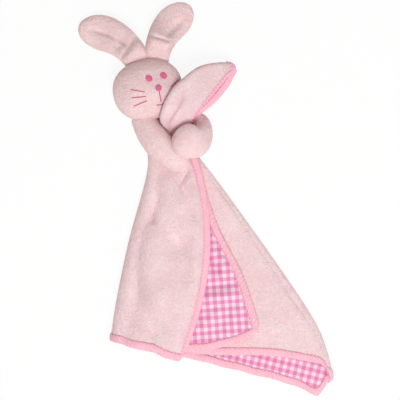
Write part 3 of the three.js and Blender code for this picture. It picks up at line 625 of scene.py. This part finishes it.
# Hugged corner: one corner of the same blanket is pulled up between the arms and folded back on itself,
# so the toy seems to hold it against its cheek. Velour is outside; at the open right edge the bound edges
# of both layers show.
CORNER_FRONT = [
    [-19, 51, 10],
    [-14.3, 63.1, 26],
    [-1.9, 80.4, 27],
    [14, 100, 21],
    [23.4, 112.5, 16.5],
    [25.4, 115.6, 12.6],
]
CORNER_BACK = [
    [-19.5, 53, 6],
    [-12.6, 64.5, 18],
    [-6.5, 75.3, 18.5],
    [6.3, 85.8, 15.8],
    [18.2, 100, 10.6],
    [24.6, 111.6, 8],
    [26.6, 114.6, 6.4],
]
CORNER_LEFT = [
    [-29.5, 55, 9],
    [-33, 62.8, 18.5],
    [-38.8, 70, 33],
    [-36.9, 77.3, 44],
    [-33.6, 85.4, 47.5],
    [-26.8, 96.8, 46],
    [-18.6, 105, 39.5],
    [-7.8, 114, 32],
    [2, 117.9, 26],
    [14.7, 119.9, 18],
    [21, 118.8, 11],
]
corner_rows = np.concatenate([np.linspace(0, 0.92, 50)[:-1], np.linspace(0.92, 1, SEAM_STEPS + 1)])
corner_lines = [down_to_hem(line, len(corner_rows)) for line in (CORNER_BACK, CORNER_LEFT, CORNER_FRONT)]
down_left = np.gradient(corner_lines[1], axis=0)
corner_lift = unit(np.cross((corner_lines[0] + corner_lines[2]) / 2 - corner_lines[1], down_left))
corner_lift *= np.sign(corner_lift[:, 2:])


def pulled_drape(points, s, v):
    """The sharp crease up from between the arms, which bends upwards as it fades, and a low roll to the
    right of it."""
    roll = 1.2 * crease(points, (-27, 66), (-17, 84), 4)
    sharp = 5.0 * crease(points, (-32.5, 67.5), (-22, 84), 1.6)
    fading = 2.6 * crease(points, (-21.6, 85), (-18, 98), 2.2)
    pull = roll - sharp - fading
    held = ease(v, 0.08, 0.24) * (1 - ease(v, 0.75, 1))
    return pull * ease(s, 0.03, 0.2) * (1 - ease(s, 0.7, 0.95)) * held


def tucked(points, lift, columns, turn):
    """Turns the last columns of a grid down round the column before them, as an edge that rolls under; the
    turn is an angle for each row."""
    start = points[:, -columns - 1 : -columns]
    away = points[:, -columns:] - start
    reach = np.linalg.norm(away, axis=-1, keepdims=True)
    angle = turn[:, None, None] * ease(np.arange(1, columns + 1) / columns, -0.3, 0.6)[None, :, None]
    points[:, -columns:] = start + reach * (np.cos(angle) * unit(away) - np.sin(angle) * lift[:, None])
    return points


still = np.zeros(len(corner_rows))
corner_rails = [
    {"at": at, "radius": still + radius, "turn": turn, "lift": corner_lift}
    for at, radius, turn in zip(corner_lines, (0, 2.0, 0), (0, 1, 0))
]


def flat_hem(s):
    """No sag: the held edge is short."""
    return 0 * s


corner_layers = [
    {"shares": from_edge, "drape": lambda points, s, v: 0 * s, "hem": flat_hem},
    {"shares": to_edge, "drape": pulled_drape, "hem": flat_hem},
]
corner_turn = np.radians(20 + 24 * ease(corner_rows, 0.1, 0.4))
corner = tucked(folded(corner_rails, corner_layers, corner_rows), corner_lift, SEAM_STEPS, corner_turn)
corner_normal = facing(corner)
corner_pile = lofted("corner_pile", between(corner, corner_normal, *PILE), "ladder")
dress(corner_pile, blanket_velour, "blanket", "velour", "corner_outer")
corner_flat = flat_cut(corner, np.radians(53))
corner_check = lofted(
    "corner_check",
    between(corner, corner_normal, *LINING),
    "ladder",
    uv=np.concatenate([corner_flat, corner_flat[:, ::-1]], axis=1),
)
dress(corner_check, gingham_cotton, "blanket", "gingham", "corner_lining")
tape_rings, tape_flat, seam_over, seam_under = taped(corner, corner_normal)
corner_tape = lofted("corner_tape", tape_rings, "ladder", uv=tape_flat)
dress(corner_tape, pink_satin, "blanket", "binding", "corner_binding")
up_over = unit(seam_over - seam_under)
corner_seams = [(seam_over, up_over), (seam_under, -up_over)]
corner_stitches = stitched("corner_stitches", corner_seams, 2.3, 3.3, 0.28)
dress(corner_stitches, pale_thread, "blanket", "binding")

# Head: a flat-backed oval cushion of two velour panels sewn together round the rim and stuffed, pinched
# in a little where the ears are caught in the seam and flattened where it lies on the table. It leans to
# the left.
HEAD_AT = np.array([-51.0, 96.8, 22.65])
HEAD_HALF = (31.0, 26.5, 22.5)
HEAD_LEAN = np.radians(12)
HEAD_SQUARENESS = 2.25
CHEEK = 9.6
BROW = 8.2


def on_head(local):
    """Head coordinates (right, up the head, out of the table) turned by the lean and moved to the head's
    place."""
    c, s = np.cos(HEAD_LEAN), np.sin(HEAD_LEAN)
    x, y, z = np.moveaxis(local, -1, 0)
    return np.stack([c * x - s * y, s * x + c * y, z], -1) + HEAD_AT


def face_relief(u, w):
    """Height added to the face: a muzzle under the nose, hollows at the eyes, and the dent along the ear
    seam."""
    muzzle = 2.6 * np.exp(-(((u - CHEEK) / 9) ** 2) - ((w + 7) / 8) ** 2)
    eyes = sum(1.3 * np.exp(-(((u - CHEEK - k * 6.4) / 5) ** 2) - ((w - BROW) / 5) ** 2) for k in (-1, 1))
    cheeks = 1.6 * np.exp(-(((u + 13) / 9) ** 2) - ((w + 4) / 10) ** 2)
    return muzzle - eyes + cheeks


def face_height(u, w):
    """Top of the head over a point: depth times sqrt(1 - r^2), r = (|u/a|^e + |w/b|^e)^(1/e), with the
    relief."""
    a, b, depth = HEAD_HALF
    r = (np.abs(u / a) ** HEAD_SQUARENESS + np.abs(w / b) ** HEAD_SQUARENESS) ** (1 / HEAD_SQUARENESS)
    rise = np.sqrt(np.maximum(1 - r**2, 0))
    return depth * rise + face_relief(u, w) * ease(rise, 0.1, 0.6)


def stuffed_head():
    """Rings from chin to crown. On each, the height is the sine of an angle and the width follows from
    the same rounded oval as face_height; the rim has the seam's groove and the back is flattened."""
    a, b, depth = HEAD_HALF
    w = b * np.sin(np.linspace(-np.pi / 2 + 0.02, np.pi / 2 - 0.02, 86))[:, None]
    angle = np.linspace(0, 2 * np.pi, 129)[None, :-1]
    flat = np.abs(w / b)
    rise = np.sqrt(1 - flat**2) * np.sin(angle)
    r = np.sqrt(1 - rise**2)
    width = np.maximum(r**HEAD_SQUARENESS - flat**HEAD_SQUARENESS, 0) ** (1 / HEAD_SQUARENESS)
    u = a * np.sign(np.cos(angle)) * width
    groove = 1 - 0.028 * np.exp(-((depth * rise / 1.1) ** 2))
    z = depth * rise + face_relief(u, w) * ease(rise, 0.1, 0.6)
    z = np.where(z < -0.93 * depth, -0.93 * depth + 0.35 * (z + 0.93 * depth), z)
    return on_head(np.stack(np.broadcast_arrays(u * groove, w * groove, z), -1))


plush_velour = velour("plush_velour", paint(251, 227, 228), paint(237, 204, 205))
head_plush = lofted("head_plush", stuffed_head(), "disc")
dress(head_plush, plush_velour, "head", "velour", "head_face_panel", "head_back_panel", "head_filling")

# Face: all of it is sewn on. Eyes and nose are domes of hot pink satin stitch; mouth and whiskers are
# single rows of backstitch in a darker, dusky thread. The face sits to the right, towards the corner that
# the toy hugs.
EYE_HALF = (2.8, 3.3)
NOSE_HALF = (2.6, 3.0)
NOSE_HEIGHT = -1.8
THREAD = 0.4


def face_place(u, w, lift):
    """Points on the face at head coordinates (u, w), lifted along its normal by finite differences."""
    u, w = np.broadcast_arrays(np.asarray(u, float), np.asarray(w, float))
    e = 0.05
    slope = [(face_height(u + e, w) - face_height(u - e, w)) / (2 * e)]
    slope.append((face_height(u, w + e) - face_height(u, w - e)) / (2 * e))
    normal = unit(np.stack([-slope[0], -slope[1], np.ones_like(slope[0])], -1))
    return on_head(np.stack([u, w, face_height(u, w)], -1) + np.asarray(lift)[..., None] * normal)


def satin_dome(name, u, w, half, tilt):
    """An oval of satin stitch: rings shrink from the edge to the middle while the lift grows as sqrt(1 -
    r^2)."""
    r = np.concatenate([[0.9], np.cos(np.linspace(0, np.pi / 2 - 0.03, 16))])[:, None]
    angle = np.linspace(0, 2 * np.pi, 73)[None, :-1]
    x, y = half[0] * r * np.cos(angle), half[1] * r * np.sin(angle)
    c, s = np.cos(tilt), np.sin(tilt)
    lift = 0.15 + 1.0 * np.sqrt(np.maximum(1 - r**2, 0)) + 0 * angle
    lift[0] = -0.35
    flat = np.stack([x, y], -1)
    return lofted(name, face_place(u + c * x - s * y, w + s * x + c * y, lift), "disc", uv=flat)


def satin_stitch(name, colour, shade):
    """Close parallel threads, four tenths of a millimetre apart, in the bump, and in the tone as painted
    light on each thread and painted shade between them.
    """
    material, wire, shader = finish(name)
    weave = wire.node("ShaderNodeUVMap", {"uv_map": "weave"})
    across = wire.node("ShaderNodeSeparateXYZ", None, {0: weave}, out=1)
    row = ((across + wire.noise(weave, 900.0) * 0.0003) * 13000.0).wave()
    links = wire.tree.links
    # Painted shade between the threads: the tone follows each thread's height.
    links.new((row * 0.5 + 0.5).mixed(shade, colour).socket, shader.inputs["Base Color"])
    links.new((0.5 - row * 0.1).socket, shader.inputs["Roughness"])
    links.new(wire.bump(row, 0.0002, 0.35).socket, shader.inputs["Normal"])
    shader.inputs["Specular IOR Level"].default_value = 0.4
    return material


# The second colour is the painted shade between the stitched threads.
hot_pink = satin_stitch("hot_pink_satin_stitch", paint(236, 128, 170), paint(222, 80, 138))
for name, side in (("eye_left", -1), ("eye_right", 1)):
    eye = satin_dome(name + "_stitched", CHEEK + side * 6.4, BROW, EYE_HALF, np.radians(28))
    dress(eye, hot_pink, "head", "hot_pink_thread", name)
nose_stitched = satin_dome("nose_stitched", CHEEK, NOSE_HEIGHT, NOSE_HALF, 0)
dress(nose_stitched, hot_pink, "head", "hot_pink_thread", "nose")


def tube(line, radius, sides, up=UP):
    """Rings round a line: each is a circle in the plane across it, with the radius given along the line."""
    along = unit(np.gradient(line, axis=0))
    beside = unit(np.cross(along, up))
    over = np.cross(beside, along)
    angle = np.linspace(0, 2 * np.pi, sides + 1)[:-1]
    ring = np.cos(angle)[None, :, None] * beside[:, None] + np.sin(angle)[None, :, None] * over[:, None]
    return line[:, None] + np.asarray(radius)[..., None] * ring


def backstitch(name, start, end, sag=0.0):
    """A row of short stitches from one point of the face to another: a thread that thins where each
    stitch dips into the cloth, with sag pulling its middle down the head."""
    steps = np.linspace(0, 1, 61)
    u = start[0] + (end[0] - start[0]) * steps
    w = start[1] + (end[1] - start[1]) * steps - 4 * sag * steps * (1 - steps)
    stitches = max(2, round(np.hypot(end[0] - start[0], end[1] - start[1]) / 2.2))
    dip = np.abs(np.sin(np.pi * stitches * steps)) ** 0.4
    close = np.sqrt(np.clip(np.minimum(steps, 1 - steps) * 30, 0.05, 1))
    line = face_place(u, w, 0.12 + 0.22 * dip)
    return lofted(name, tube(line, (THREAD * (0.72 + 0.28 * dip) * close)[:, None], 10), "disc")


dusky_thread = thread("dusky_thread", paint(214, 98, 134), paint(184, 68, 104))
stem_low = NOSE_HEIGHT - NOSE_HALF[1] - 9.2
face_lines = {"mouth_stem": ((CHEEK, NOSE_HEIGHT - NOSE_HALF[1] - 0.4), (CHEEK - 0.4, stem_low), 0.0)}
face_lines["mouth_smile"] = ((CHEEK - 5.0, stem_low - 1.6), (CHEEK + 3.6, stem_low - 1.2), 0.5)
for row in (1, 2, 3):
    for side, inset, reach, rise in ((-1, 12.0, 12.6, 6), (1, 10.2, 10.8, 16)):
        slant = np.radians(rise + (2 - row) * 16)
        near = np.array([CHEEK + side * inset, NOSE_HEIGHT - 4.9 + (2 - row) * 3.7])
        far = near + reach * np.array([side * np.cos(slant), np.sin(slant)])
        face_lines[f"whisker_{'left' if side < 0 else 'right'}_{row}"] = (near, far, 0.0)
for name, (start, end, sag) in face_lines.items():
    dress(backstitch(name + "_sewn", start, end, sag), dusky_thread, "head", "dusky_thread", name)

# Ears: two long soft flaps, each of two velour panels with a thin layer of wadding, caught in the seam at
# the top of the head. The left one lies out to the side with a trough along it; the right one rises,
# bends over and lies back.
EARS = {
    "left": {
        "at": (-61.2, 124.2),
        "length": 61.5,
        "heading": 121.6,
        "bend": 64.0,
        "root": 11.8,
        "half": 16.2,
    },
    "right": {
        "at": (-43.3, 125.0),
        "length": 57.0,
        "heading": 84.8,
        "bend": -60.0,
        "root": 10.8,
        "half": 15.4,
    },
}


def trough(s, a):
    """Relief of the left ear: a sharp valley along it, a pinch across it near the root and a dimple
    beside that."""
    valley = 3.0 * np.exp(-(np.abs((a - 0.05) / 0.4) ** 1.3)) + 4.0 * np.exp(-(((a - 0.05) / 0.1) ** 2))
    pinch = 2.8 * np.exp(-(((s - 0.19 - 0.05 * a) / 0.045) ** 2))
    dimple = 2.4 * np.exp(-(((s - 0.33) / 0.07) ** 2) - ((a + 0.35) / 0.22) ** 2)
    rise = 4.5 * np.exp(-(((s - 0.1) / 0.11) ** 2)) + 1.6 * ease(s, 0.2, 0.5)
    return rise - valley * ease(s, 0.18, 0.34) * (1 - ease(s, 0.66, 0.9)) - pinch - dimple


def bent_over(s, a):
    """Relief of the right ear: it climbs to a crease a quarter of the way along and falls from there,
    with a hollow along its right side."""
    before, after = np.maximum(0.24 - s, 0) / 0.18, np.maximum(s - 0.24, 0) / 0.2
    climb = 9.0 * np.exp(-(before**2)) * np.exp(-(after**2))
    fold = 3.0 * np.exp(-(((s - 0.3 - 0.02 * a) / 0.026) ** 2)) * (1 - ease(a, 0.3, 0.8))
    hollow = 3.2 * np.exp(-(((a - 0.25) / 0.22) ** 2)) * ease(s, 0.3, 0.45) * (1 - ease(s, 0.62, 0.85))
    return climb - fold - hollow


def ear_path(ear, s):
    """Middle line of an ear: a circular arc that leaves at its heading and turns by its bend, with its
    direction."""
    turn, heading = np.radians(ear["bend"]), np.radians(ear["heading"] - 90)
    x = -ear["length"] / turn * (1 - np.cos(turn * s))
    y = ear["length"] / turn * np.sin(turn * s)
    c, n = np.cos(heading), np.sin(heading)
    across = np.stack([np.cos(heading + turn * s), np.sin(heading + turn * s)], -1)
    return np.stack([ear["at"][0] + c * x - n * y, ear["at"][1] + n * x + c * y], -1), across


def flap_ear(ear, relief):
    """Rings across an ear: half width grows from root to middle and closes to a round tip; the loft is an
    ellipse's sine, thinner below; the middle sinks from the head's rim to the table, with the ear's own
    relief."""
    tip = 1 - 0.2 * np.cos(np.linspace(0, np.pi / 2, 34)[1:]) ** 1.6
    s = np.concatenate([np.linspace(-0.1, 0.8, 60), tip])[:, None]
    middle, across = ear_path(ear, s[:, 0])
    half = ear["root"] + (ear["half"] - ear["root"]) * ease(s, -0.1, 0.7)
    half = half * np.sqrt(np.maximum(1 - np.maximum(0, (s - 0.55) / 0.45) ** 2.4, 1e-4))
    angle = np.linspace(0, 2 * np.pi, 97)[None, :-1]
    a = np.sign(np.cos(angle)) * np.abs(np.cos(angle)) ** 0.8
    loft = np.where(np.sin(angle) > 0, 3.6, 2.4) * np.sin(angle) * np.minimum(1, half / 7)
    height = 20.0 - 14.6 * ease(s, 0.02, 1.05) + relief(s, a) * np.minimum(1, half / 8) * (1 - a**4)
    plan = middle[:, None] + (across[:, None] * (a * half)[..., None])
    seam = 1 - 0.02 * np.exp(-((loft / 0.5) ** 2))
    plan = middle[:, None] + (plan - middle[:, None]) * seam[..., None]
    return np.concatenate([plan, (height + loft)[..., None]], -1)


for side, relief in (("left", trough), ("right", bent_over)):
    ear = EARS[side]
    piece = lofted(f"ear_{side}_plush", flap_ear(ear, relief), "disc")
    layers = (f"ear_{side}_{layer}" for layer in ("front", "back", "wadding"))
    dress(piece, plush_velour, None, "velour", *layers)
    (near, far), _ = ear_path(ear, np.array([-0.06, 0.14]))
    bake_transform(piece)

# Arms: two stuffed velour tubes, sewn on below the head. The left one lies across the chest; the right
# one comes from under the hugged corner and turns up and back over, so its paw rests on the other. A
# short cloth simulation fills both covers; pieces this small need far more pressure than a large cushion.
LEFT_ARM = [
    [-56.5, 75, 15, 11.2, 9.0],
    [-54.4, 69.5, 19, 11.8, 10.0],
    [-49, 59, 25, 12.8, 10.5],
    [-42, 49.3, 28.6, 13.3, 10.6],
    [-34, 41, 29.2, 12.4, 10.5],
    [-25.3, 34.4, 29, 10.8, 10.2],
    [-13.4, 31.5, 28.4, 9.6, 9.6],
]
RIGHT_ARM = [
    [-44, 68, 9.2, 10, 7.6],
    [-34, 69.5, 9, 10, 7.8],
    [-20, 69.5, 9.6, 10, 8],
    [-8, 66.5, 13.2, 11.2, 8.4],
    [-3.4, 60.4, 20, 12.3, 8.6],
    [-4, 54.8, 28, 12.6, 9],
    [-8.4, 50.8, 35.2, 14.2, 9.6],
    [-14, 50.8, 38.6, 15.8, 10.4],
    [-21, 52.2, 38.8, 15.4, 10.5],
    [-29.6, 55, 38.3, 13.6, 10],
]
ARM_SIDES = 80
ARM_DRAWN_IN = 0.3
ARM_GIVE = 1.2
FILLING_PRESSURE = 3000
FILLING_FRAMES = 20


def stuffed_arm(stations, sideways):
    """Rings along an arm: a curve through the stations gives the middle and both half sizes; the ends
    close as an ellipse's quarter, and a seam's groove runs along both sides."""
    s = (1 - np.cos(np.linspace(0, np.pi, 92))) / 2
    path = rail(stations, s)
    line, half = path[:, :3], path[:, 3:]
    run = np.concatenate([[0], np.cumsum(np.linalg.norm(np.diff(line, axis=0), axis=-1))])
    to_end = np.minimum(run[-1] - run, 13) / 13
    from_root = np.minimum(run, 6) / 6
    paw_end = np.sqrt(np.maximum(1 - (1 - to_end) ** 2.3, 4e-4))
    sewn_end = np.sqrt(np.maximum(1 - (1 - from_root) ** 2, 4e-4))
    close = paw_end * sewn_end
    along = unit(np.gradient(line, axis=0))
    wide = unit(sideways(along) - along * (sideways(along) * along).sum(-1, keepdims=True))
    deep = np.cross(wide, along)
    angle = np.linspace(0, 2 * np.pi, ARM_SIDES + 1)[None, :-1, None]
    groove = 1 - 0.035 * np.exp(-((np.sin(angle) / 0.09) ** 2))
    x = (half[:, :1] * close[:, None])[:, None] * np.cos(angle) * groove
    y = (half[:, 1:] * close[:, None])[:, None] * np.sin(angle)
    return line[:, None] + x * wide[:, None] + y * deep[:, None]


def filled(piece, shrink, cap):
    """Fills a sewn cover: drawn in along its normals by shrink, it settles as cloth under pressure from
    inside while its two seams are held, and every point then stays within cap of where it was drawn.
    Millimetres."""
    vertices = piece.data.vertices
    drawn, normal, moved = (np.empty(3 * len(vertices)) for _ in range(3))
    vertices.foreach_get("co", drawn)
    vertices.foreach_get("normal", normal)
    vertices.foreach_set("co", drawn - 0.001 * shrink * normal)
    seam = piece.vertex_groups.new(name="seam")
    seam.add(np.arange(0, len(vertices), ARM_SIDES // 2).tolist(), 1.0, "REPLACE")
    cloth = piece.modifiers.new("filling", "CLOTH")
    cloth.settings.use_pressure = True
    cloth.settings.uniform_pressure_force = FILLING_PRESSURE
    cloth.settings.mass = 0.001
    cloth.settings.tension_stiffness = 1
    cloth.settings.compression_stiffness = 1
    cloth.settings.shear_stiffness = 0.5
    cloth.settings.bending_stiffness = 0.02
    cloth.settings.effector_weights.gravity = 0
    cloth.settings.vertex_group_mass = "seam"
    for number in range(1, FILLING_FRAMES + 1):
        scene.frame_set(number)
    settled = piece.evaluated_get(bpy.context.evaluated_depsgraph_get())
    settled.data.vertices.foreach_get("co", moved)
    step = (moved - drawn).reshape(-1, 3)
    reach = np.linalg.norm(step, axis=1, keepdims=True)
    step *= np.minimum(1, 0.001 * cap / np.maximum(reach, 1e-9))
    piece.modifiers.remove(cloth)
    piece.vertex_groups.remove(seam)
    vertices.foreach_set("co", drawn + step.ravel())
    piece.data.update()
    scene.frame_set(1)


arm_left_plush = lofted("arm_left_plush", stuffed_arm(LEFT_ARM, lambda along: np.cross(along, UP)), "disc")
filled(arm_left_plush, ARM_DRAWN_IN, ARM_GIVE)
dress(arm_left_plush, plush_velour, None, "velour", "arm_left_cover", "arm_left_filling")
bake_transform(arm_left_plush)
right_arm_rings = stuffed_arm(RIGHT_ARM, lambda along: np.array([0.0, 1.0, 0.0]))
arm_right_plush = lofted("arm_right_plush", right_arm_rings, "disc")
filled(arm_right_plush, ARM_DRAWN_IN, ARM_GIVE)
upper_arm = ("arm_right_upper_cover", "arm_right_upper_filling")
dress(arm_right_plush, plush_velour, None, "velour", "arm_right_cover", "arm_right_filling", *upper_arm)
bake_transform(arm_right_plush)

# Studio: a pale table top that shows white to the camera, one large soft lamp above the toy's lower end,
# a weak one from the right, and an even sky. The camera looks straight down, with the frame 352 mm wide.
FRAME_WIDTH = 0.352
CAMERA_HEIGHT = 1.6
floor_mesh = bpy.data.meshes.new("table_top")
floor_mesh.from_pydata([(-3, -3, 0), (3, -3, 0), (3, 3, 0), (-3, 3, 0)], [], [(0, 1, 2, 3)])
table_top = bpy.data.objects.new("table_top", floor_mesh)
scene.collection.objects.link(table_top)
table_white, wire, shader = finish("table_white")
grain = wire.noise(wire.node("ShaderNodeTexCoord", out=3), 40.0)
white = grain.mixed(paint(246, 246, 246), paint(252, 252, 252))
wire.tree.links.new(white.socket, shader.inputs["Base Color"])
shader.inputs["Roughness"].default_value = 0.9
rays = ("Camera", "Glossy", "Transmission")
seen = [wire.node("ShaderNodeLightPath", out=f"Is {ray} Ray") for ray in rays]
glow = wire.node("ShaderNodeEmission", None, {"Color": (1, 1, 1, 1), "Strength": 1.0})
share = (seen[0] + seen[1] + seen[2]).stepped(0.0, 1.0) * 0.9
surface = wire.node("ShaderNodeMixShader", None, {0: share, 1: Wire(wire.tree, shader.outputs[0]), 2: glow})
wire.tree.links.new(surface.socket, wire.tree.nodes["Material Output"].inputs["Surface"])
floor_mesh.materials.append(table_white)

sky = bpy.data.worlds.new("studio_sky")
sky.use_nodes = True
sky.node_tree.nodes["Background"].inputs["Color"].default_value = (1, 0.93, 0.905, 1)
sky.node_tree.nodes["Background"].inputs["Strength"].default_value = 0.44
scene.world = sky
LAMPS = [("key", (0.12, -0.58, 1.5), 16.2, 0.5), ("fill", (0.9, -0.6, 0.7), 1.6, 0.7)]
for name, place, power, size in LAMPS:
    lamp = bpy.data.lights.new(name, "AREA")
    lamp.energy, lamp.size = power, size
    holder = bpy.data.objects.new(name, lamp)
    holder.location = place
    way = np.array(place) / np.linalg.norm(place)
    holder.rotation_euler = (np.arccos(way[2]), 0, np.arctan2(way[1], way[0]) + np.pi / 2)
    scene.collection.objects.link(holder)

lens = bpy.data.cameras.new("overhead")
lens.sensor_width = 36
lens.lens = 36 * (CAMERA_HEIGHT - 0.02) / FRAME_WIDTH
overhead = bpy.data.objects.new("overhead", lens)
overhead.location = (-0.00528, 0, CAMERA_HEIGHT)
scene.collection.objects.link(overhead)
scene.camera = overhead
